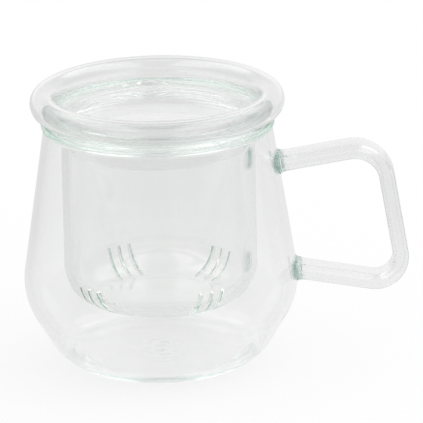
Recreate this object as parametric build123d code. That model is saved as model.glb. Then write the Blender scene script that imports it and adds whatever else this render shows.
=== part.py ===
from build123d import *
from math import atan2, cos, degrees, hypot, radians, sin, sqrt, tan
import os

# A glass tea mug with a lift-out glass infuser and a lift-off glass lid.
# Millimetres, +Z up, origin on the mug's axis in the plane of its base; the handle points along +X.

# Mug body: a blown shell with a straight tapering wall, a rounded belly and a flat base
mug_height = 86.0
mouth_radius = 39.6
belly_radius = 48.7
belly_height = 25.8
foot_radius = 33.5
belly_fillet = 25.0
foot_fillet = 18.5
mug_wall = 2.0
base_thickness = 4.4
inner_foot_fillet = 4.0

# Handle: a flattened glass bar bent at two corners and fused to the wall at both ends
handle_thickness = 5.55
handle_width = 12.4
handle_edge_radius = 0.49 * handle_thickness
handle_top_bend = 11.5
handle_low_bend = 9.0
handle_top_reach = 37.8
handle_top_drop = 8.7
handle_low_reach = 36.9
handle_low_rise = 0.1
handle_top_slope = 9.2
handle_low_slope = 9.9
weld_length = 2.4
weld_flare = 0.7

# Infuser: a glass cup that hangs by its flange on the mug's rim
infuser_clearance = 4.0
infuser_wall = 2.3
infuser_bottom_gap = 18.1
infuser_corner_radius = 14.0
flange_overhang = 1.0
flange_thickness = 1.9
flange_edge_radius = 0.75
flange_root_fillet = 2.0
flange_mouth_round = 1.2
rim_clearance = 0.2

# Slits sawn by hand through the infuser's rounded lower corner, in groups of parallel cuts
slit_width = 0.8
slit_pitch = 4.3
slits_per_group = 3
slit_angles = (44.0, 119.0, 221.0, 302.0)
slit_high_angle = 14.0
slit_low_angle = 80.0

# Lid: a flat plate with a hollow round rim and a skirt that drops into the infuser's mouth
lid_overhang = 3.6
tube_radius = 4.5
tube_wall = 1.2
tube_sink = 0.3
crease_radius = 0.6
plate_thickness = 2.0
plate_edge_radius = 0.6
skirt_length = 9.4
skirt_wall = 2.2
skirt_end_flat = 0.2
skirt_clearance = 0.6
lid_clearance = 0.2


def unit(vector):
    # the vector at length one
    length = hypot(*vector)
    return (vector[0] / length, vector[1] / length)


def inset_line(start, end, distance):
    # the straight line from start to end, moved to its left by the distance
    along = unit((end[0] - start[0], end[1] - start[1]))
    step = (-along[1] * distance, along[0] * distance)
    return [(point[0] + step[0], point[1] + step[1]) for point in (start, end)]


def crossing(line_a, line_b):
    # the point where two straight lines, each given by two points, cross
    (ax, az), (bx, bz) = line_a
    (cx, cz), (dx, dz) = line_b
    denominator = (ax - bx) * (cz - dz) - (az - bz) * (cx - dx)
    first = ax * bz - az * bx
    second = cx * dz - cz * dx
    return (
        (first * (cx - dx) - (ax - bx) * second) / denominator,
        (first * (cz - dz) - (az - bz) * second) / denominator,
    )


def spun(*edges):
    # a closed half-section in the XZ plane, turned about the Z axis
    section = Plane.XZ * make_face(Curve() + list(edges))
    return revolve(section, Axis.Z)


# Mug body

foot_corner = (foot_radius, 0)
belly_corner = (belly_radius, belly_height)
mouth_corner = (mouth_radius, mug_height)
wall_direction = unit((mouth_radius - belly_radius, mug_height - belly_height))
wall_normal = (wall_direction[1], -wall_direction[0])

# The rim is fire-polished to a full round across the wall
rim_centre_height = mug_height - mug_wall / 2
rim_outer_height = rim_centre_height + wall_normal[1] * mug_wall / 2
rim_outer_radius = belly_radius + (rim_outer_height - belly_height) * wall_direction[0] / wall_direction[1]
rim_outer = (rim_outer_radius, rim_outer_height)
rim_inner = (rim_outer_radius - wall_normal[0] * mug_wall, rim_outer_height - wall_normal[1] * mug_wall)

lower_inside = inset_line(foot_corner, belly_corner, mug_wall)
upper_inside = inset_line(belly_corner, mouth_corner, mug_wall)
floor_line = [(0, base_thickness), (foot_radius, base_thickness)]
inner_foot_corner = crossing(floor_line, lower_inside)
inner_belly_corner = crossing(lower_inside, upper_inside)

mug_outside = FilletPolyline(
    (0, 0), foot_corner, belly_corner, rim_outer, radius=[foot_fillet, belly_fillet]
)
mug_inside = FilletPolyline(
    rim_inner, inner_belly_corner, inner_foot_corner, (0, base_thickness),
    radius=[belly_fillet - mug_wall, inner_foot_fillet],
)
mug_rim = TangentArc(rim_outer, rim_inner, tangent=wall_direction)
mug_axis = Line((0, base_thickness), (0, 0))
mug_body = spun(mug_outside, mug_rim, mug_inside, mug_axis)

# The mug as one solid block, which trims what is fused to its outside
mug_block = spun(mug_outside, Line(rim_outer, (0, rim_outer[1])), Line((0, rim_outer[1]), (0, 0)))


# Handle: its corners lie out from the mouth and the belly, below the rim and level with the belly

handle_top_corner = (mouth_radius + handle_top_reach, mug_height - handle_top_drop)
handle_low_corner = (belly_radius + handle_low_reach, belly_height + handle_low_rise)


def bar_section(plane, growth):
    # the bar's rounded section on a plane across it, grown all round
    across = handle_width + 2 * growth
    deep = handle_thickness + 2 * growth
    return plane * RectangleRounded(across, deep, handle_edge_radius + growth)


def section_plane(point, direction):
    # a plane across the bar, with the bar's width along Y
    return Plane(origin=(point[0], 0, point[1]), x_dir=(0, 1, 0), z_dir=(direction[0], 0, direction[1]))


def arm_start(corner, slope, rise):
    # where an arm, run back from its corner, lies on the mug's axis
    return (0, corner[1] - rise * corner[0] * tan(radians(slope)))


def wall_crossing(corner, slope, rise):
    # where an arm's centre line meets the tapering wall
    wall_line = [belly_corner, mouth_corner]
    return crossing([arm_start(corner, slope, rise), corner], wall_line)


def weld(point, direction):
    # the bar's flared end, from inside the wall to the plain bar
    inner = (point[0] - direction[0] * mug_wall, point[1] - direction[1] * mug_wall)
    outer = (point[0] + direction[0] * weld_length, point[1] + direction[1] * weld_length)
    sections = [
        bar_section(section_plane(inner, direction), weld_flare * (1 + mug_wall / weld_length)),
        bar_section(section_plane(outer, direction), 0),
    ]
    return loft(sections, ruled=True)


top_direction = (cos(radians(handle_top_slope)), sin(radians(handle_top_slope)))
low_direction = (cos(radians(handle_low_slope)), -sin(radians(handle_low_slope)))
top_weld_point = wall_crossing(handle_top_corner, handle_top_slope, 1)
# The lower arm meets the belly's round just inside the straight wall line
low_weld_point = wall_crossing(handle_low_corner, handle_low_slope, -1)
top_end = (top_weld_point[0] - top_direction[0] * mug_wall, top_weld_point[1] - top_direction[1] * mug_wall)
low_end = (low_weld_point[0] - low_direction[0] * mug_wall, low_weld_point[1] - low_direction[1] * mug_wall)

handle_path = Plane.XZ * FilletPolyline(
    top_end, handle_top_corner, handle_low_corner, low_end, radius=[handle_top_bend, handle_low_bend]
)
handle_bar = sweep(bar_section(section_plane(top_end, top_direction), 0), path=handle_path)
handle = handle_bar + weld(top_weld_point, top_direction) + weld(low_weld_point, low_direction) - mug_block


# Infuser

infuser_radius = mouth_radius - mug_wall - infuser_clearance
infuser_bottom = base_thickness + infuser_bottom_gap
flange_radius = mouth_radius + flange_overhang
flange_low = mug_height + rim_clearance
flange_high = flange_low + flange_thickness
infuser_inner_radius = infuser_radius - infuser_wall

infuser_outside = FilletPolyline(
    (0, infuser_bottom), (infuser_radius, infuser_bottom), (infuser_radius, flange_low),
    (flange_radius, flange_low), (flange_radius, flange_high), (infuser_inner_radius, flange_high),
    (infuser_inner_radius, infuser_bottom + infuser_wall), (0, infuser_bottom + infuser_wall),
    radius=[
        infuser_corner_radius, flange_root_fillet, flange_edge_radius, flange_edge_radius,
        flange_mouth_round, infuser_corner_radius - infuser_wall,
    ],
)
infuser_axis = Line((0, infuser_bottom + infuser_wall), (0, infuser_bottom))
infuser_cup = spun(infuser_outside, infuser_axis)


def slit_blade():
    # one cut across the lower corner: a sector about the corner's centre, through its wall
    centre = (infuser_radius - infuser_corner_radius, infuser_bottom + infuser_corner_radius)
    reach_in = infuser_corner_radius - 2 * infuser_wall
    reach_out = infuser_corner_radius + infuser_wall
    middle_angle = (slit_high_angle + slit_low_angle) / 2

    def at(radius, angle):
        return (centre[0] + radius * cos(radians(angle)), centre[1] - radius * sin(radians(angle)))

    downward = (slit_high_angle, middle_angle, slit_low_angle)
    outer = ThreePointArc(*[at(reach_out, angle) for angle in downward])
    inner = ThreePointArc(*[at(reach_in, angle) for angle in reversed(downward)])
    sides = [Line(outer @ 1, inner @ 0), Line(inner @ 1, outer @ 0)]
    sector = Plane.XZ * make_face(Curve() + [outer, inner, *sides])
    return extrude(sector, slit_width / 2, both=True)


blade = slit_blade()
slit_offsets = [(index - (slits_per_group - 1) / 2) * slit_pitch for index in range(slits_per_group)]
slits = [Rot(0, 0, angle) * Pos(0, offset, 0) * blade for angle in slit_angles for offset in slit_offsets]
infuser = infuser_cup - slits


# Lid

lid_radius = flange_radius + lid_overhang
lid_seat = flange_high + lid_clearance
plate_top = lid_seat + plate_thickness
tube_ring_radius = lid_radius - tube_radius
tube_height = plate_top - tube_sink + tube_radius
skirt_radius = infuser_inner_radius - skirt_clearance
skirt_low = lid_seat - skirt_length
skirt_round = (skirt_wall - skirt_end_flat) / 2


def turn_to(point):
    # the angle, in degrees, at which a point lies from the tube's centre
    return degrees(atan2(point[1] - tube_height, point[0] - tube_ring_radius))


def arc(centre, radius, start, end):
    # an arc about a centre between two angles in degrees
    turns = [radians(angle) for angle in (start, (start + end) / 2, end)]
    return ThreePointArc(*[(centre[0] + radius * cos(turn), centre[1] + radius * sin(turn)) for turn in turns])


# Where the tube stands on the plate, small fillets tangent to both close the creases
crease_reach = tube_radius + crease_radius
crease_drop = tube_radius - tube_sink - crease_radius
outer_crease = (tube_ring_radius + crease_radius, tube_height - sqrt(crease_reach**2 - crease_radius**2))
inner_crease = (tube_ring_radius - sqrt(crease_reach**2 - crease_drop**2), plate_top + crease_radius)
outer_turn = turn_to(outer_crease)
inner_turn = turn_to(inner_crease) + 360

lid_under = FilletPolyline(
    (0, lid_seat), (skirt_radius - skirt_wall, lid_seat), (skirt_radius - skirt_wall, skirt_low),
    (skirt_radius, skirt_low), (skirt_radius, lid_seat), (tube_ring_radius, lid_seat),
    (tube_ring_radius, outer_crease[1]),
    radius=[skirt_wall, skirt_round, skirt_round, flange_mouth_round, plate_edge_radius],
)
lid_tube = arc((tube_ring_radius, tube_height), tube_radius, outer_turn, inner_turn)
outer_fillet = arc(outer_crease, crease_radius, 180, outer_turn + 180)
inner_fillet = arc(inner_crease, crease_radius, inner_turn - 180, -90)
lid_plate = Line((inner_crease[0], plate_top), (0, plate_top))
lid_axis = Line((0, plate_top), (0, lid_seat))
lid_block = spun(lid_under, outer_fillet, lid_tube, inner_fillet, lid_plate, lid_axis)

# The rim is a tube blown closed, so its bore has no opening
lid_bore = Pos(0, 0, tube_height) * Torus(tube_ring_radius, tube_radius - tube_wall)
lid = lid_block - lid_bore


# Each piece is one solid, written to its own file

os.makedirs("parts", exist_ok=True)
pieces = {"mug_body": mug_body, "handle": handle, "infuser": infuser, "lid": lid}
for name, piece in pieces.items():
    export_step(piece, os.path.join("parts", name + ".step"))
    size = piece.bounding_box().size
    print(name, "volume", round(piece.volume), "size", [round(side, 2) for side in (size.X, size.Y, size.Z)])
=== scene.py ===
import math

import bpy
import numpy as np
from mathutils import Matrix, Vector


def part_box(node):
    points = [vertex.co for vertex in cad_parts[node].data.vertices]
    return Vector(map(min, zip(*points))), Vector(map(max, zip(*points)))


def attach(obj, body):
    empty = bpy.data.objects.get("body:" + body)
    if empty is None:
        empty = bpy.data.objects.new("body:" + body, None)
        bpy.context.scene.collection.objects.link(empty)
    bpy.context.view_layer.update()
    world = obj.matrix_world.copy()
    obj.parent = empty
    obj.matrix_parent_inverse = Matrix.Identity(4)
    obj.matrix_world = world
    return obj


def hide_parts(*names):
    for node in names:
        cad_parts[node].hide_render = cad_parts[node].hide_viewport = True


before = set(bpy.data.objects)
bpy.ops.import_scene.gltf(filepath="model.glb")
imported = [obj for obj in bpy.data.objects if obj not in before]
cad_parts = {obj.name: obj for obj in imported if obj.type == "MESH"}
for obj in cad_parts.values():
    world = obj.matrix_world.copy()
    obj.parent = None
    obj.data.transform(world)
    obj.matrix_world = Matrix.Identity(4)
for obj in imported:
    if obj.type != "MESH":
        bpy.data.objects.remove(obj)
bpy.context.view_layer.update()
scene = bpy.context.scene
scene.view_settings.view_transform = "Standard"
glassBounces, clearBounces = 200, 24  # thin walls guide light a long way round before it comes out
scene.cycles.max_bounces = glassBounces
scene.cycles.transmission_bounces = glassBounces
scene.cycles.glossy_bounces = glassBounces
scene.cycles.transparent_max_bounces = clearBounces


# shader wiring

class Wire:
    # one output of a shader node; arithmetic on it adds Math nodes

    def __init__(self, tree, socket=None):
        self.tree = tree
        self.socket = socket

    def node(self, kind, settings=None, sockets=None, out=0):
        # a node of any kind: its settings first, then the values or wires of its sockets
        made = self.tree.nodes.new(kind)
        for key, value in (settings or {}).items():
            setattr(made, key, value)
        for key, value in (sockets or {}).items():
            if isinstance(value, Wire):
                self.tree.links.new(value.socket, made.inputs[key])
            else:
                made.inputs[key].default_value = value
        return Wire(self.tree, made.outputs[out] if len(made.outputs) else None)

    def other(self, out):
        # another output of the same node
        return Wire(self.tree, self.socket.node.outputs[out])

    def math(self, operation, first, second=0.0):
        return self.node("ShaderNodeMath", {"operation": operation}, {0: first, 1: second})

    def __add__(self, value):
        return self.math("ADD", self, value)

    __radd__ = __add__

    def __sub__(self, value):
        return self.math("SUBTRACT", self, value)

    def __rsub__(self, value):
        return self.math("SUBTRACT", value, self)

    def __mul__(self, value):
        return self.math("MULTIPLY", self, value)

    __rmul__ = __mul__

    def step(self, low, high):
        # 0 below low, 1 above high, smooth between
        settings = {"interpolation_type": "SMOOTHSTEP"}
        return self.node("ShaderNodeMapRange", settings, {"Value": self, "From Min": low, "From Max": high})

    def band(self, low, high, soft):
        # 1 between low and high, 0 outside, with soft edges
        return self.step(low - soft, low + soft) * (1 - self.step(high - soft, high + soft))

    def largest(self, value):
        return self.math("MAXIMUM", self, value)

    def blend(self, low, high):
        # the colour low where this is 0 and high where it is 1
        return self.node("ShaderNodeMix", {"data_type": "RGBA"}, {0: self, 6: low, 7: high}, out=2)


def newMaterial(name):
    material = bpy.data.materials.new(name)
    material.use_nodes = True
    material.node_tree.nodes.clear()
    return material, Wire(material.node_tree)


# surfaces

hair = 1e-6  # metres; heights nearer than this count as level


def roundedLine(corners, radii, arcStep=math.radians(1.5), lineStep=0.004):
    # a line through the corners, where each inner corner is an arc of its radius tangent to both sides:
    # the arc starts radius * tan(turn / 2) before the corner and its centre is radius / cos(turn / 2) away
    corners = np.array(corners, float)
    runs = []
    start = corners[0]
    for before, corner, after, radius in zip(corners, corners[1:], corners[2:], radii):
        back = (before - corner) / np.linalg.norm(before - corner)
        ahead = (after - corner) / np.linalg.norm(after - corner)
        turn = math.pi - math.acos(float(np.clip(back @ ahead, -1, 1)))
        reach = radius * math.tan(turn / 2)
        inward = (back + ahead) / np.linalg.norm(back + ahead)
        centre = corner + inward * radius / math.cos(turn / 2)
        first = corner + back * reach
        side = (first - centre) / radius
        count = max(2, math.ceil(turn / arcStep)) + 1
        along = np.linspace(0, turn, count)[:, None]
        arc = centre + radius * (np.cos(along) * side - np.sin(along) * back)
        runs.append(straight(start, first, lineStep))
        runs.append(arc[:-1])
        start = arc[-1]
    runs.append(straight(start, corners[-1], lineStep))
    return np.concatenate(runs + [corners[-1:]])


def straight(start, end, lineStep):
    # evenly spaced points from start towards end, without the end itself
    count = max(1, math.ceil(np.linalg.norm(end - start) / lineStep))
    return start + (end - start) * (np.arange(count) / count)[:, None]


def gridFaces(index):
    # quads of a grid of point numbers that closes round its second direction
    beside = np.roll(index, -1, axis=1)
    return np.stack((index[:-1], beside[:-1], beside[1:], index[1:]), -1)


def spun(profile, angles):
    # point(row, column) = (r(row) cos a, r(row) sin a, z(row)) with a = angles(row, column);
    # the profile starts and ends on the axis, where one point closes the surface
    radius = profile[1:-1, 0, None]
    height = np.broadcast_to(profile[1:-1, 1, None], angles.shape)
    grid = np.stack((radius * np.cos(angles), radius * np.sin(angles), height), -1)
    poles = np.array([[0, 0, profile[0, 1]], [0, 0, profile[-1, 1]]])
    points = np.concatenate((grid.reshape(-1, 3), poles))
    index = np.arange(angles.size).reshape(angles.shape)
    return points, index, poleFaces(index, angles.size)


def poleFaces(index, pole):
    # triangles from the first row to its pole and from the last row to its own
    first = np.stack((np.full(index.shape[1], pole), np.roll(index[0], -1), index[0]), -1)
    last = np.stack((index[-1], np.roll(index[-1], -1), np.full(index.shape[1], pole + 1)), -1)
    return np.concatenate((first, last))


def evenAngles(rows, columns):
    return np.broadcast_to(np.linspace(0, 2 * math.pi, columns, endpoint=False), (rows, columns))


def enclosed(points, faces):
    # the volume inside: each face's fan of triangles makes a tetrahedron with the origin
    total = 0.0
    for face in faces:
        a = points[face[:, 0]]
        for second, third in zip(face.T[1:], face.T[2:]):
            total += np.einsum("ij,ij->i", a, np.cross(points[second], points[third])).sum() / 6
    return total


def meshPiece(name, points, faces, material, marks=None, sharpAngle=math.radians(40)):
    # one mesh from its points and arrays of triangles or quads;
    # marks hold a value from 0 to 1 for each point or each face
    mesh = bpy.data.meshes.new(name)
    loops = np.concatenate([face.ravel() for face in faces])
    sizes = np.concatenate([np.full(len(face), face.shape[1]) for face in faces])
    mesh.vertices.add(len(points))
    mesh.vertices.foreach_set("co", np.ascontiguousarray(points, np.float32).ravel())
    mesh.loops.add(len(loops))
    mesh.loops.foreach_set("vertex_index", loops.astype(np.int32))
    mesh.polygons.add(len(sizes))
    mesh.polygons.foreach_set("loop_start", (np.cumsum(sizes) - sizes).astype(np.int32))
    mesh.polygons.foreach_set("use_smooth", np.ones(len(sizes), bool))
    mesh.update(calc_edges=True)
    mesh.validate()
    mesh.set_sharp_from_angle(angle=sharpAngle)
    for key, values in (marks or {}).items():
        domain = "POINT" if len(values) == len(points) else "FACE"
        mesh.attributes.new(key, "FLOAT", domain).data.foreach_set("value", values.astype(np.float32))
    mesh.materials.append(material)
    piece = bpy.data.objects.new(name, mesh)
    scene.collection.objects.link(piece)
    volume = enclosed(points, faces) * 1e6  # from cubic metres
    print("made", name, "with", len(sizes), "faces round", round(volume, 2), "cm3")
    return piece


def carry(piece, body, node):
    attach(piece, body)
    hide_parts(node)


# glass

glass = dict(
    ior=1.474,
    roughness=0.006,
    absorbColour=(0.6, 0.92, 0.8, 1.0),
    waveDetail=2.0, streakDetail=3.0, streakFiner=2, streakLow=0.45, streakHigh=0.7,
)


def glassFinish(name, look):
    # clear glass: slow waves and streaks in its surface, a faint tint, green where the light path is long;
    # where a mark is 1, at a weld, a saw cut, an edge or the lid's tube, it has that mark's own colour and
    # roughness; the lid's tube colour is painted shade, a darker grey than the lid's plate of the same glass
    material, pen = newMaterial(name)
    place = pen.node("ShaderNodeTexCoord", out="Object")
    drawn = pen.node("ShaderNodeMapping", sockets={"Vector": place, "Scale": look["stretch"]})
    waves = pen.node("ShaderNodeTexNoise", sockets={
        "Vector": drawn,
        "Scale": look["waveScale"],
        "Detail": glass["waveDetail"],
    })
    streaks = pen.node("ShaderNodeTexNoise", sockets={
        "Vector": drawn,
        "Scale": look["waveScale"] * glass["streakFiner"],
        "Detail": glass["streakDetail"],
    })
    ripple = pen.node("ShaderNodeBump", sockets={
        "Strength": 1.0,
        "Distance": look["waveDepth"],
        "Height": waves,
    })
    tintAndShade = streaks.step(glass["streakLow"], glass["streakHigh"]).blend(look["clear"], look["streak"])
    rough = glass["roughness"] * streaks
    # each mark's colour replaces the glass tint; on the lid's tube that colour is painted shade
    for key, colour, markRough in look["marks"]:
        mark = pen.node("ShaderNodeAttribute", {"attribute_name": key}, out="Fac")
        tintAndShade = mark.blend(tintAndShade, colour)
        rough = rough.largest(mark * markRough)
    surface = pen.node("ShaderNodeBsdfPrincipled", sockets={
        "Base Color": tintAndShade,
        "Roughness": rough,
        "IOR": glass["ior"],
        "Transmission Weight": 1.0,
        "Normal": ripple,
    })
    inside = pen.node("ShaderNodeVolumeAbsorption", sockets={
        "Color": glass["absorbColour"],
        "Density": look["density"],
    })
    pen.node("ShaderNodeOutputMaterial", sockets={"Surface": surface, "Volume": inside})
    return material


# mug

mug = dict(
    mouthRadius=0.0396, bellyRadius=0.0487, bellyHeight=0.0258, footRadius=0.0335,
    bellyFillet=0.025, footFillet=0.0185, wall=0.002, base=0.0044, innerFootFillet=0.004,
    pontilDepth=0.00025, pontilReach=0.006, pontilPitch=0.004,
    columns=480, fineStep=0.0012, rimPoints=31,
)
mugLook = dict(
    waveScale=60, waveDepth=0.00001, stretch=(1, 1, 0.5), density=1.6,
    clear=(0.95, 0.95, 0.95, 1), streak=(0.95, 0.957, 0.952, 1), marks=(),
)


def insetLine(start, end, distance):
    # the line from start to end moved to its left
    along = (end - start) / np.linalg.norm(end - start)
    step = np.array([-along[1], along[0]]) * distance
    return start + step, end + step


def crossing(lineA, lineB):
    # where two straight lines cross
    spanA, spanB = lineA[1] - lineA[0], lineB[1] - lineB[0]
    share = np.linalg.solve(np.stack((spanA, -spanB), 1), lineB[0] - lineA[0])[0]
    return lineA[0] + share * spanA


def mugOutline():
    # outside from the axis up to the rim, the rim, and inside from the rim back down to the axis
    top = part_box("mug_body")[1].z
    foot = np.array([mug["footRadius"], 0])
    belly = np.array([mug["bellyRadius"], mug["bellyHeight"]])
    mouth = np.array([mug["mouthRadius"], top])
    wallWay = (mouth - belly) / np.linalg.norm(mouth - belly)
    wallOut = np.array([wallWay[1], -wallWay[0]])
    rimHeight = top - mug["wall"] / 2 + wallOut[1] * mug["wall"] / 2
    rimOut = belly + wallWay * (rimHeight - belly[1]) / wallWay[1]
    rimIn = rimOut - wallOut * mug["wall"]
    lower, upper = insetLine(foot, belly, mug["wall"]), insetLine(belly, mouth, mug["wall"])
    floor = (np.array([0, mug["base"]]), np.array([mug["footRadius"], mug["base"]]))
    outside = roundedLine([(0, 0), foot, belly, rimOut], [mug["footFillet"], mug["bellyFillet"]])
    inside = roundedLine(
        [rimIn, crossing(lower, upper), crossing(floor, lower), (0, mug["base"])],
        [mug["bellyFillet"] - mug["wall"], mug["innerFootFillet"]], lineStep=mug["fineStep"],
    )
    # the rim is a half round from outside to inside
    turn = np.linspace(0, math.pi, mug["rimPoints"])[1:-1, None]
    rim = (rimOut + rimIn) / 2 + mug["wall"] / 2 * (np.cos(turn) * wallOut + np.sin(turn) * wallWay)
    return outside, rim, inside


def makeMug():
    outside, rim, inside = mugOutline()
    profile = np.concatenate((outside, rim, inside))
    points, index, caps = spun(profile, evenAngles(len(profile) - 2, mug["columns"]))
    faces = [gridFaces(index).reshape(-1, 4), caps]
    # the pontil mark: a spiral ripple on the inner floor that dies out from the axis
    reach, turn = np.hypot(points[:, 0], points[:, 1]), np.arctan2(points[:, 1], points[:, 0])
    fall = np.exp(-(reach / mug["pontilReach"]) ** 2)
    swirl = np.cos(2 * math.pi * reach / mug["pontilPitch"] + turn) * fall
    onFloor = np.abs(points[:, 2] - mug["base"]) < hair
    points[:, 2] += onFloor * mug["pontilDepth"] * swirl
    piece = meshPiece("mugGlass", points, faces, glassFinish("blownGlass", mugLook))
    carry(piece, "mug", "mug_body")


# handle

handle = dict(
    thickness=0.00555, width=0.0124, edgeShare=0.49, topBend=0.0115, lowBend=0.009,
    topReach=0.0378, topDrop=0.0087, lowReach=0.0369, lowRise=0.0001,
    topSlope=9.2, lowSlope=-9.9,
    weldLength=0.0024, weldFlare=0.0007, weldGap=0.00003, weldFade=0.0017, weldBend=3, capRings=6,
    boreWall=0.0009, boreStart=0.0004, boreRound=0.0009,
    fineStep=0.0012, edgePoints=25, wallTries=12,
)
handleLook = dict(
    waveScale=90, waveDepth=0.000006, stretch=(0.4, 1, 0.4), density=1.6,
    clear=(0.931, 0.933, 0.931, 1), streak=(0.936, 0.942, 0.937, 1),
    marks=[("weld", (0.18, 0.34, 0.28, 1), 0.05)],
)


def barOutline(inset=0.0):
    # the bar's section as (across, deep): a rectangle with round corners, once round, moved in by the inset
    half = np.array([handle["width"], handle["thickness"]]) / 2 - inset
    turn = np.linspace(0, math.pi / 2, handle["edgePoints"])
    edge = handle["edgeShare"] * 2 * half[1]
    quarter = half - edge + edge * np.stack((np.cos(turn), np.sin(turn)), -1)
    flipped = quarter[::-1]
    runs = [quarter, flipped * (-1, 1), -quarter, flipped * (1, -1)]
    closed = np.concatenate(runs + [quarter[:1]])
    # each side is divided evenly into parts no longer than the fine step
    span = np.diff(closed, axis=0)
    count = np.maximum(1, np.ceil(np.linalg.norm(span, axis=1) / handle["fineStep"])).astype(int)
    side = np.repeat(np.arange(len(count)), count)
    share = (np.arange(count.sum()) - (np.cumsum(count) - count)[side]) / count[side]
    return closed[side] + span[side] * share[:, None]


def ontoWall(points, way, wallRadius, gap):
    # slides points along way until they lie off the mug's outside by the gap
    for _ in range(handle["wallTries"]):
        miss = np.hypot(points[..., 0], points[..., 1]) - gap - wallRadius(points[..., 2])
        points = points - way * miss[..., None]
    return points


def makeHandle():
    outside, _, _ = mugOutline()

    def wallRadius(height):
        return np.interp(height, outside[:, 1], outside[:, 0])

    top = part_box("mug_body")[1].z
    topCorner = np.array([mug["mouthRadius"] + handle["topReach"], top - handle["topDrop"]])
    lowCorner = np.array([mug["bellyRadius"] + handle["lowReach"], mug["bellyHeight"] + handle["lowRise"]])
    ways, feet = [], []
    for corner, slope in ((topCorner, handle["topSlope"]), (lowCorner, handle["lowSlope"])):
        way = np.array([math.cos(math.radians(slope)), math.sin(math.radians(slope))])
        onWall = ontoWall(np.array([corner[0], 0, corner[1]]), np.array([way[0], 0, way[1]]), wallRadius, 0)
        ways.append(way)
        feet.append(np.array([onWall[0], onWall[2]]))
    path = roundedLine(
        [feet[0], topCorner, lowCorner, feet[1]],
        [handle["topBend"], handle["lowBend"]], lineStep=handle["fineStep"],
    )
    tangent = np.gradient(path, axis=0)
    tangent[0], tangent[-1] = ways[0], -ways[1]
    tangent /= np.linalg.norm(tangent, axis=1)[:, None]
    outline = barOutline()
    reach = np.concatenate(([0], np.cumsum(np.linalg.norm(np.diff(path, axis=0), axis=1))))
    fromEnd = np.minimum(reach, reach[-1] - reach)
    flare = handle["weldFlare"] * np.clip(1 - fromEnd / handle["weldLength"], 0, 1) ** 2
    # the bar: point(row, side) = path(row) + across * Y + deep * normal(row), grown by the flare
    half = np.array([handle["width"], handle["thickness"]]) / 2
    grown = outline[None] * (1 + flare[:, None, None] / half)
    normal = np.stack((-tangent[:, 1], tangent[:, 0]), -1)
    bar = np.stack((
        path[:, 0, None] + normal[:, 0, None] * grown[..., 1],
        grown[..., 0],
        path[:, 1, None] + normal[:, 1, None] * grown[..., 1],
    ), -1)
    # near each end the rows bend from a flat section to the wall's own curve
    for row, way in ((0, ways[0]), (-1, ways[1])):
        slide = np.array([way[0], 0, way[1]])
        shift = ontoWall(bar[row], slide, wallRadius, handle["weldGap"]) - bar[row]
        fromWeld = reach if row == 0 else reach[-1] - reach
        share = np.clip(1 - fromWeld / (handle["weldBend"] * handle["weldLength"]), 0, 1)
        bar = bar + share[:, None, None] * shift
    rings = np.linspace(1, 0, handle["capRings"], endpoint=False)[1:]
    caps = []
    for row, way in ((0, ways[0]), (-1, ways[1])):
        middle = bar[row].mean(0)
        flat = middle + rings[:, None, None] * (bar[row] - middle)
        slide = np.array([way[0], 0, way[1]])
        cap = ontoWall(flat, slide, wallRadius, handle["weldGap"])
        pole = ontoWall(middle[None], slide, wallRadius, handle["weldGap"])
        caps.append((cap, pole))
    grid = np.concatenate((caps[0][0][::-1], bar, caps[1][0]))
    points = np.concatenate((grid.reshape(-1, 3), caps[0][1], caps[1][1]))
    index = np.arange(grid.shape[0] * grid.shape[1]).reshape(grid.shape[:2])
    faces = [gridFaces(index).reshape(-1, 4), poleFaces(index, index.size)]
    # the bore: the section moved in by the wall, drawn to a round end short of each weld,
    # where its size is sqrt(1 - closing ** 2); its faces look into the hollow
    left = fromEnd - handle["boreStart"]
    within = np.flatnonzero(left > 0)
    closing = np.clip(1 - left[within] / handle["boreRound"], 0, 1)
    hollow = barOutline(handle["boreWall"])[None] * np.sqrt(1 - closing ** 2)[:, None, None]
    spine = np.stack((path[:, 0], np.zeros(len(path)), path[:, 1]), -1)
    rise = np.stack((normal[:, 0], np.zeros(len(path)), normal[:, 1]), -1)
    deep, across = hollow[..., 1, None] * rise[within, None], hollow[..., 0, None] * np.array([0, 1, 0])
    bore = spine[within, None] + deep + across
    number = len(points) + np.arange(bore.shape[0] * bore.shape[1]).reshape(bore.shape[:2])
    boreEnds = [bore[0].mean(0), bore[-1].mean(0)]
    faces += [gridFaces(number)[..., ::-1].reshape(-1, 4), poleFaces(number, number.max() + 1)[:, ::-1]]
    outerCount = len(points)
    points = np.concatenate((points, bore.reshape(-1, 3), boreEnds))
    # the fused ends are marked as weld, fading out along the bar
    fade = np.clip(1 - fromEnd / handle["weldFade"], 0, 1)
    fade = fade * fade * (3 - 2 * fade)
    rowMark = np.concatenate((np.ones(len(rings)), fade, np.ones(len(rings))))
    weld = np.concatenate((np.repeat(rowMark, grid.shape[1]), [1, 1], np.zeros(len(points) - outerCount)))
    piece = meshPiece("handleGlass", points, faces, glassFinish("drawnGlass", handleLook), {"weld": weld})
    carry(piece, "mug", "handle")


# infuser

infuser = dict(
    wall=0.0023, clearance=0.004, cornerRadius=0.014, flangeOverhang=0.001, flangeThickness=0.0019,
    flangeEdge=0.00075, flangeRoot=0.002, flangeMouth=0.0012, edgeReach=0.0009,
    slitWidth=0.0008, slitPitch=0.0043, slitsPerGroup=3, slitAngles=(44.0, 119.0, 221.0, 302.0),
    slitHigh=14.0, slitLow=80.0, rowStep=1.5,
    slitColumns=2, bridgeColumns=6, openColumns=100, innerLimit=0.009,
    flangeStep=3.0, floorStep=0.003, angleSlack=1e-9,
)
infuserLook = dict(
    waveScale=70, waveDepth=0.000008, stretch=(1, 1, 0.15), density=1.0,
    clear=(0.99, 0.99, 0.99, 1), streak=(0.98, 0.993, 0.983, 1),
    marks=[("cut", (0.87, 0.945, 0.905, 1), 0.06), ("edge", (0.905, 0.96, 0.932, 1), 0.0)],
)


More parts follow.
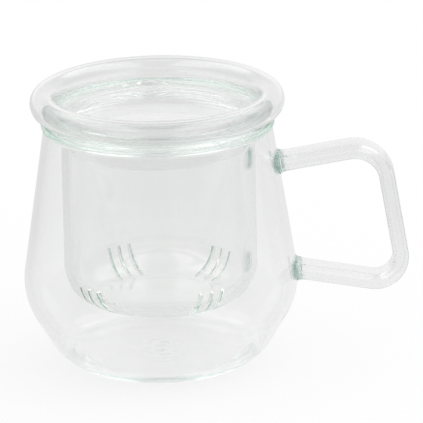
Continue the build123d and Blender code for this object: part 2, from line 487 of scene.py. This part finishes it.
def cornerRows():
    # angles below the horizontal for the rows of the lower corner, with one row at each slit end
    low, high, step = infuser["slitLow"], infuser["slitHigh"], infuser["rowStep"]
    spans = [(90.0, low), (low, high), (high, 0.0)]
    runs = [np.linspace(a, b, math.ceil((a - b) / step) + 1)[:-1] for a, b in spans]
    return np.radians(np.concatenate(runs + [[0.0]]))


def makeInfuser():
    low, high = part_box("infuser")[0].z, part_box("infuser")[1].z
    radius = mug["mouthRadius"] - mug["wall"] - infuser["clearance"]
    inner = radius - infuser["wall"]
    flange = mug["mouthRadius"] + infuser["flangeOverhang"]
    flangeLow = high - infuser["flangeThickness"]
    corner = infuser["cornerRadius"]
    centre = np.array([radius - corner, low + corner])
    angles = cornerRows()
    fan = np.stack((np.cos(angles), -np.sin(angles)), -1)
    outerCorner = centre + corner * fan
    innerCorner = (centre + (corner - infuser["wall"]) * fan)[::-1]
    wallLine = roundedLine(
        [outerCorner[-1], (radius, flangeLow), (flange, flangeLow),
         (flange, high), (inner, high), innerCorner[0]],
        [infuser["flangeRoot"], infuser["flangeEdge"], infuser["flangeEdge"], infuser["flangeMouth"]],
        arcStep=math.radians(infuser["flangeStep"]),
    )
    underside = straight(np.array([0, low]), outerCorner[0], infuser["floorStep"])
    floor = straight(innerCorner[-1], np.array([0, low + infuser["wall"]]), infuser["floorStep"])
    profile = np.concatenate((
        underside, outerCorner[:-1], wallLine[:-1], innerCorner[:-1], floor, [[0, low + infuser["wall"]]],
    ))
    # columns follow the slits' parallel sides:
    # at radius r a side at offset e lies at the angle asin(e / r) from its group
    rows = np.maximum(profile[1:-1, 0], infuser["innerLimit"])
    place = (np.arange(infuser["slitsPerGroup"]) - (infuser["slitsPerGroup"] - 1) / 2) * infuser["slitPitch"]
    sides = np.stack((place - infuser["slitWidth"] / 2, place + infuser["slitWidth"] / 2), -1).ravel()
    groups = np.radians(infuser["slitAngles"])
    knots = groups[None, :, None] + np.arcsin(sides[None, None] / rows[:, None, None])
    knots = knots.reshape(len(rows), -1)
    knots = np.concatenate((knots, knots[:, :1] + 2 * math.pi), 1)
    counts = [infuser["slitColumns"], infuser["bridgeColumns"]] * infuser["slitsPerGroup"]
    counts = np.tile(counts[:-1] + [infuser["openColumns"]], len(groups))
    segment = np.repeat(np.arange(len(counts)), counts)
    starts = np.cumsum(counts) - counts
    share = (np.arange(counts.sum()) - starts[segment]) / counts[segment]
    angle = knots[:, segment] * (1 - share) + knots[:, segment + 1] * share
    points, index, caps = spun(profile, angle)
    quads = gridFaces(index)
    # the slits: faces between their ends are left out on both skins, and walls join the two skins
    rowOf = len(underside) - 1
    outerRows = rowOf + np.arange(len(angles))
    innerRows = outerRows[-1] + len(wallLine) - 1 + np.arange(len(angles))
    slitLow, slitHigh = np.radians([infuser["slitLow"], infuser["slitHigh"]])
    inSlit = (angles <= slitLow + infuser["angleSlack"]) & (angles >= slitHigh - infuser["angleSlack"])
    cut = np.flatnonzero(inSlit)
    outerCut, innerCut = outerRows[cut], innerRows[::-1][cut]
    keep = np.ones(quads.shape[:2], bool)
    walls = []
    perGroup = len(counts) // len(groups)
    for slit in range(len(counts)):
        if slit % perGroup % 2 or slit % perGroup == perGroup - 1:
            continue
        columns = np.arange(starts[slit], starts[slit] + counts[slit] + 1) % index.shape[1]
        keep[outerCut[0]:outerCut[-1], columns[:-1]] = False
        keep[innerCut[-1]:innerCut[0], columns[:-1]] = False
        outer, within = index[np.ix_(outerCut, columns)], index[np.ix_(innerCut, columns)]
        walls += [
            np.stack((outer[1:, 0], outer[:-1, 0], within[:-1, 0], within[1:, 0]), -1),
            np.stack((outer[:-1, -1], outer[1:, -1], within[1:, -1], within[:-1, -1]), -1),
            np.stack((outer[0, :-1], outer[0, 1:], within[0, 1:], within[0, :-1]), -1),
            np.stack((outer[-1, 1:], outer[-1, :-1], within[-1, :-1], within[-1, 1:]), -1),
        ]
    faces = [quads[keep], np.concatenate(walls), caps]
    slitFaces = np.concatenate([np.full(len(face), float(part == 1)) for part, face in enumerate(faces)])
    rim = np.hypot(points[:, 0], points[:, 1]) > flange - infuser["edgeReach"]
    marks = {"cut": slitFaces, "edge": rim.astype(float)}
    piece = meshPiece("infuserGlass", points, faces, glassFinish("infuserGlass", infuserLook), marks)
    carry(piece, "infuser", "infuser")


# lid

lid = dict(
    tubeRadius=0.0045, tubeWall=0.0012, tubeSink=0.0003, plateEdge=0.0006, creaseRadius=0.0006,
    skirtLength=0.0094, skirtWall=0.0012, skirtRound=0.0005, skirtFillet=0.004, skirtClearance=0.0006,
    mouthRound=0.0012,
    sealPlace=(-0.0025, 0.031), sealHeight=0.0018, sealLeft=0.009, sealRight=0.006, sealDeep=0.007,
    sealRipple=0.0002, sealPitch=0.005,
    columns=320, underStep=3.0, creaseStep=6.0, boreStep=3.0, plateStep=0.001,
)
lidLook = dict(
    waveScale=60, waveDepth=0.000001, stretch=(1, 1, 1), density=0.8,
    clear=(0.955, 0.955, 0.955, 1), streak=(0.955, 0.962, 0.957, 1),
    # the tube mark's grey is painted shade: darker than the plate, though both are the same glass
    marks=[("tube", (0.908, 0.911, 0.909, 1), 0.0), ("edge", (0.82, 0.9, 0.86, 1), 0.0)],
)


def arcLine(centre, radius, start, end, arcStep=math.radians(2.5)):
    # points on a circle from the start angle to the end angle, both included
    turn = np.linspace(start, end, math.ceil(abs(end - start) / arcStep) + 1)
    return centre + radius * np.stack((np.cos(turn), np.sin(turn)), -1)


def wayAngle(step):
    return math.atan2(step[1], step[0])


def makeLid():
    low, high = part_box("lid")
    tube, crease = lid["tubeRadius"], lid["creaseRadius"]
    centre = np.array([high.x - tube, high.z - tube])
    seat = low.z + lid["skirtLength"]
    plateTop = centre[1] - tube + lid["tubeSink"]
    skirt = mug["mouthRadius"] - mug["wall"] - infuser["clearance"] - infuser["wall"] - lid["skirtClearance"]
    skirtIn = skirt - lid["skirtWall"]
    # where the tube stands on the plate, fillets tangent to both close the creases
    drop = centre[1] - plateTop - crease
    outer = centre + np.array([crease, -math.sqrt((tube + crease) ** 2 - crease ** 2)])
    inner = centre - np.array([math.sqrt((tube + crease) ** 2 - drop ** 2), drop])
    under = roundedLine(
        [(0, seat), (skirtIn, seat), (skirtIn, low.z), (skirt, low.z), (skirt, seat), (centre[0], seat),
         (centre[0], outer[1])],
        [lid["skirtFillet"], lid["skirtRound"], lid["skirtRound"], lid["mouthRound"], lid["plateEdge"]],
        arcStep=math.radians(lid["underStep"]),
    )
    creaseStep = math.radians(lid["creaseStep"])
    outerTurn, innerTurn = wayAngle(outer - centre), wayAngle(inner - centre) + 2 * math.pi
    runs = dict(
        under=under[:-1],
        outerCrease=arcLine(outer, crease, math.pi, outerTurn + math.pi, creaseStep)[:-1],
        tube=arcLine(centre, tube, outerTurn, innerTurn)[:-1],
        innerCrease=arcLine(inner, crease, innerTurn - math.pi, -math.pi / 2, creaseStep)[:-1],
        plate=straight(np.array([inner[0], plateTop]), np.array([0, plateTop]), lid["plateStep"]),
        middle=[[0, plateTop]],
    )
    profile = np.concatenate(list(runs.values()))
    rowRun = np.repeat(list(runs), [len(run) for run in runs.values()])[1:-1]  # the run of each row
    points, index, caps = spun(profile, evenAngles(len(profile) - 2, lid["columns"]))
    faces = [gridFaces(index).reshape(-1, 4), caps]
    sealRim(points, centre, plateTop)
    # the tube's bore is a ring of its own whose faces look into the hollow
    bore = arcLine(centre, tube - lid["tubeWall"], 2 * math.pi, 0, math.radians(lid["boreStep"]))[:-1]
    angles = evenAngles(len(bore), lid["columns"])
    height = np.broadcast_to(bore[:, 1, None], angles.shape)
    ring = np.stack((bore[:, 0, None] * np.cos(angles), bore[:, 0, None] * np.sin(angles), height), -1)
    number = len(points) + np.arange(angles.size).reshape(angles.shape)
    faces.append(gridFaces(np.concatenate((number, number[:1]))).reshape(-1, 4))
    points = np.concatenate((points, ring.reshape(-1, 3)))
    # the tube and its bore are marked as tube, which carries painted shade, and both creases as edge; the
    # two poles are neither
    tubeShadeRows = np.repeat(rowRun == "tube", lid["columns"])
    onCrease = np.repeat(np.isin(rowRun, ["outerCrease", "innerCrease"]), lid["columns"])
    marks = {
        "tube": np.concatenate((tubeShadeRows, np.zeros(2), np.ones(angles.size))),
        "edge": np.concatenate((onCrease, np.zeros(2), np.zeros(angles.size))),
    }
    piece = meshPiece("lidGlass", points, faces, glassFinish("rimGlass", lidLook), marks)
    carry(piece, "lid", "lid")


def sealRim(points, centre, plateTop):
    # the sealed blow-hole at the back: a low mound with a spiral ripple, on the plate and the tube's foot;
    # rise = fall * bell(x, y) * (sealHeight + sealRipple * cos(2 pi * distance / sealPitch + turn)),
    # where fall goes from 1 on the plate to 0 at the tube's middle
    x, y = points[:, 0] - lid["sealPlace"][0], points[:, 1] - lid["sealPlace"][1]
    across = np.where(x < 0, lid["sealLeft"], lid["sealRight"])
    bell = np.exp(-(x / across) ** 2 - (y / lid["sealDeep"]) ** 2)
    ripple = np.cos(2 * math.pi * np.hypot(x, y) / lid["sealPitch"] + np.arctan2(y, x))
    inRing = np.hypot(points[:, 0], points[:, 1]) < centre[0]
    upper = (points[:, 2] > plateTop - hair) & (points[:, 2] < centre[1]) & inRing
    fall = np.clip((centre[1] - points[:, 2]) / (centre[1] - plateTop), 0, 1)
    points[:, 2] += upper * fall * bell * (lid["sealHeight"] + lid["sealRipple"] * ripple)


makeMug()
makeHandle()
makeInfuser()
makeLid()
print("glass pieces in place")


# floor and light

studio = dict(
    floorSide=3.0, floorDrop=0.0001, floorPoints=5,
    floorGrey=1.0, grainScale=300.0, grainDetail=3.0, grainDepth=0.01,
    floorGlow=0.86, glassGlow=0.86,  # the floor's glow for the eye and for glass
    # painted shade on the floor: darker in glass mirrors at the left and in front, and darker behind through
    # glass
    floorLeft=0.83, floorRight=0.91, floorTurn=0.15, floorNear=0.0, floorEnd=0.08,  # mirrored floor
    frontNear=-0.03, frontFar=-0.12, frontDark=0.35,  # mirrored floor in front
    backNear=0.06, backFar=0.2, backDark=0.068,  # floor behind, through glass
    ringLow=-0.1, ringHigh=0.2, ringSoft=0.06, ringGrey=0.6, frontStart=-0.85, frontEnd=-0.3,  # dark front
    cardIn=0.75, cardLow=0.02, cardHigh=0.45, cardSoft=0.06, cardGrey=0.6,  # grey cards at both sides
    boxIn=0.24, boxOut=0.75, boxLow=0.56, boxSoft=0.08, boxGlow=1.3,  # soft boxes above
    upperLow=0.3, upperHigh=0.65, upperGrey=0.72,  # the tent's greyer top
    keySkew=0.65,  # more of the floor's light comes from the right
)


def pathKinds(pen):
    # what a ray has met: nothing yet, glass as its last surface, or glass that mirrored it at any point;
    # a ray that the floor has scattered doesn't count as mirrored
    path = pen.node("ShaderNodeLightPath", out="Is Camera Ray")
    throughGlass = path.other("Is Transmission Ray").largest(path.other("Is Glossy Ray"))
    scattered = pen.math("MINIMUM", path.other("Diffuse Depth"), 1.0)
    mirrored = pen.math("MINIMUM", path.other("Glossy Depth"), 1.0) * (1 - scattered)
    return path, throughGlass, mirrored


def makeFloor():
    # pale paper that glows for the eye and for glass, and keeps a share of the object's shadow; painted
    # shade: rays mirrored in glass meet it darker, most at the left and in front, and rays through glass
    # meet it a little darker behind
    material, pen = newMaterial("paleFloor")
    plain, throughGlass, mirrored = pathKinds(pen)
    place = pen.node("ShaderNodeTexCoord", out="Object")
    grain = pen.node("ShaderNodeTexNoise", sockets={
        "Vector": place,
        "Scale": studio["grainScale"],
        "Detail": studio["grainDetail"],
    })
    pale, paler = studio["floorGrey"] - studio["grainDepth"], studio["floorGrey"]
    paper = grain.blend((pale,) * 3 + (1,), (paler,) * 3 + (1,))
    diffuse = pen.node("ShaderNodeBsdfDiffuse", sockets={"Color": paper})
    reach = pen.node("ShaderNodeVectorMath", {"operation": "LENGTH"}, {0: place}, out="Value")
    far = mirrored * reach.step(studio["floorNear"], studio["floorEnd"])
    rightward = pen.node("ShaderNodeSeparateXYZ", sockets={0: place}, out="X")
    backward = rightward.other("Y")
    turn = rightward.step(-studio["floorTurn"], studio["floorTurn"])
    # painted shade: the floor's glow dimmed by place for mirrored and through-glass rays
    paintedFloorShade = far * ((1 - studio["floorLeft"]) - turn * (studio["floorRight"] - studio["floorLeft"]))
    behind = backward.step(studio["backNear"], studio["backFar"])
    paintedFloorShade = paintedFloorShade + throughGlass * behind * studio["backDark"]
    inFront = 1 - backward.step(studio["frontFar"], studio["frontNear"])
    paintedFloorShade = paintedFloorShade + mirrored * inFront * studio["frontDark"]
    glow = pen.node("ShaderNodeEmission", sockets={"Color": (1, 1, 1, 1), "Strength": 1 - paintedFloorShade})
    share = (plain * studio["floorGlow"]).largest(throughGlass * studio["glassGlow"]).largest(far)
    both = pen.node("ShaderNodeMixShader", sockets={0: share, 1: diffuse, 2: glow})
    pen.node("ShaderNodeOutputMaterial", sockets={"Surface": both})
    side = studio["floorSide"] / 2
    line = np.linspace(-side, side, studio["floorPoints"])
    x, y = np.meshgrid(line, line)
    points = np.stack((x, y, np.full_like(x, -studio["floorDrop"])), -1).reshape(-1, 3)
    index = np.arange(x.size).reshape(x.shape)
    quads = np.stack((index[:-1, :-1], index[:-1, 1:], index[1:, 1:], index[1:, :-1]), -1).reshape(-1, 4)
    meshPiece("floor", points, [quads], material)


def makeWorld():
    # a pale tent that looks greyer above; rays mirrored in glass also meet a darker front at camera height,
    # grey cards at both sides and two soft boxes above, and the floor gets more light from the right
    world = bpy.data.worlds.new("studioLight")
    world.use_nodes = True
    world.node_tree.nodes.clear()
    scene.world = world
    pen = Wire(world.node_tree)
    plain, throughGlass, mirrored = pathKinds(pen)
    way = pen.node("ShaderNodeTexCoord", out="Generated")
    x = pen.node("ShaderNodeSeparateXYZ", sockets={0: way}, out="X")
    y, z = x.other("Y"), x.other("Z")
    boxSoft, cardSoft = studio["boxSoft"], studio["cardSoft"]
    ring = z.band(studio["ringLow"], studio["ringHigh"], studio["ringSoft"])
    ring = ring * (1 - y.step(studio["frontStart"], studio["frontEnd"])) * mirrored
    side = pen.math("ABSOLUTE", x)
    boxes = side.band(studio["boxIn"], studio["boxOut"], boxSoft)
    boxes = boxes * z.step(studio["boxLow"] - boxSoft, studio["boxLow"] + boxSoft) * mirrored
    cards = side.step(studio["cardIn"] - cardSoft, studio["cardIn"] + cardSoft) * mirrored
    cards = cards * z.band(studio["cardLow"], studio["cardHigh"], cardSoft)
    seen = plain.largest(throughGlass)
    tent = 1 - z.step(studio["upperLow"], studio["upperHigh"]) * seen * (1 - studio["upperGrey"])
    strength = tent - ring * (tent - studio["ringGrey"]) - cards * (tent - studio["cardGrey"])
    strength = strength + boxes * studio["boxGlow"] + (1 - seen) * x * studio["keySkew"]
    light = pen.node("ShaderNodeBackground", sockets={"Color": (1, 1, 1, 1), "Strength": strength})
    pen.node("ShaderNodeOutputWorld", sockets={"Surface": light})


# camera at the photograph's place: where the part's origin falls in the image, and how it leans

cameraView = dict(
    distance=2.5, elevation=18.81, lean=1.19, metresPerPixel=0.0003504,
    originPixel=(162.7, 358.7), imageSide=423, sensor=36.0, clipEnd=20,
)


def makeCamera():
    data = bpy.data.cameras.new("camera")
    data.sensor_width = cameraView["sensor"]
    focal = cameraView["distance"] / cameraView["metresPerPixel"]
    data.lens = focal / cameraView["imageSide"] * cameraView["sensor"]
    data.clip_end = cameraView["clipEnd"]
    tilt, lean = math.radians(cameraView["elevation"]), math.radians(cameraView["lean"])
    away = np.array([0, -math.cos(tilt), math.sin(tilt)])
    up = np.array([0, math.sin(tilt), math.cos(tilt)])
    # the image's centre as seen from the origin, with the lean taken out
    fromOrigin = cameraView["imageSide"] / 2 - np.array(cameraView["originPixel"])
    offset = fromOrigin * cameraView["metresPerPixel"]
    right = offset[0] * math.cos(lean) - offset[1] * math.sin(lean)
    down = offset[0] * math.sin(lean) + offset[1] * math.cos(lean)
    place = Vector(away * cameraView["distance"])
    aim = Vector(np.array([right, 0, 0]) - up * down)
    turn = (aim - place).to_track_quat("-Z", "Y").to_matrix() @ Matrix.Rotation(-lean, 3, "Z")
    camera = bpy.data.objects.new("camera", data)
    camera.matrix_world = Matrix.Translation(place) @ turn.to_4x4()
    scene.collection.objects.link(camera)
    scene.camera = camera


makeFloor()
makeWorld()
makeCamera()
print("floor, light and camera set")
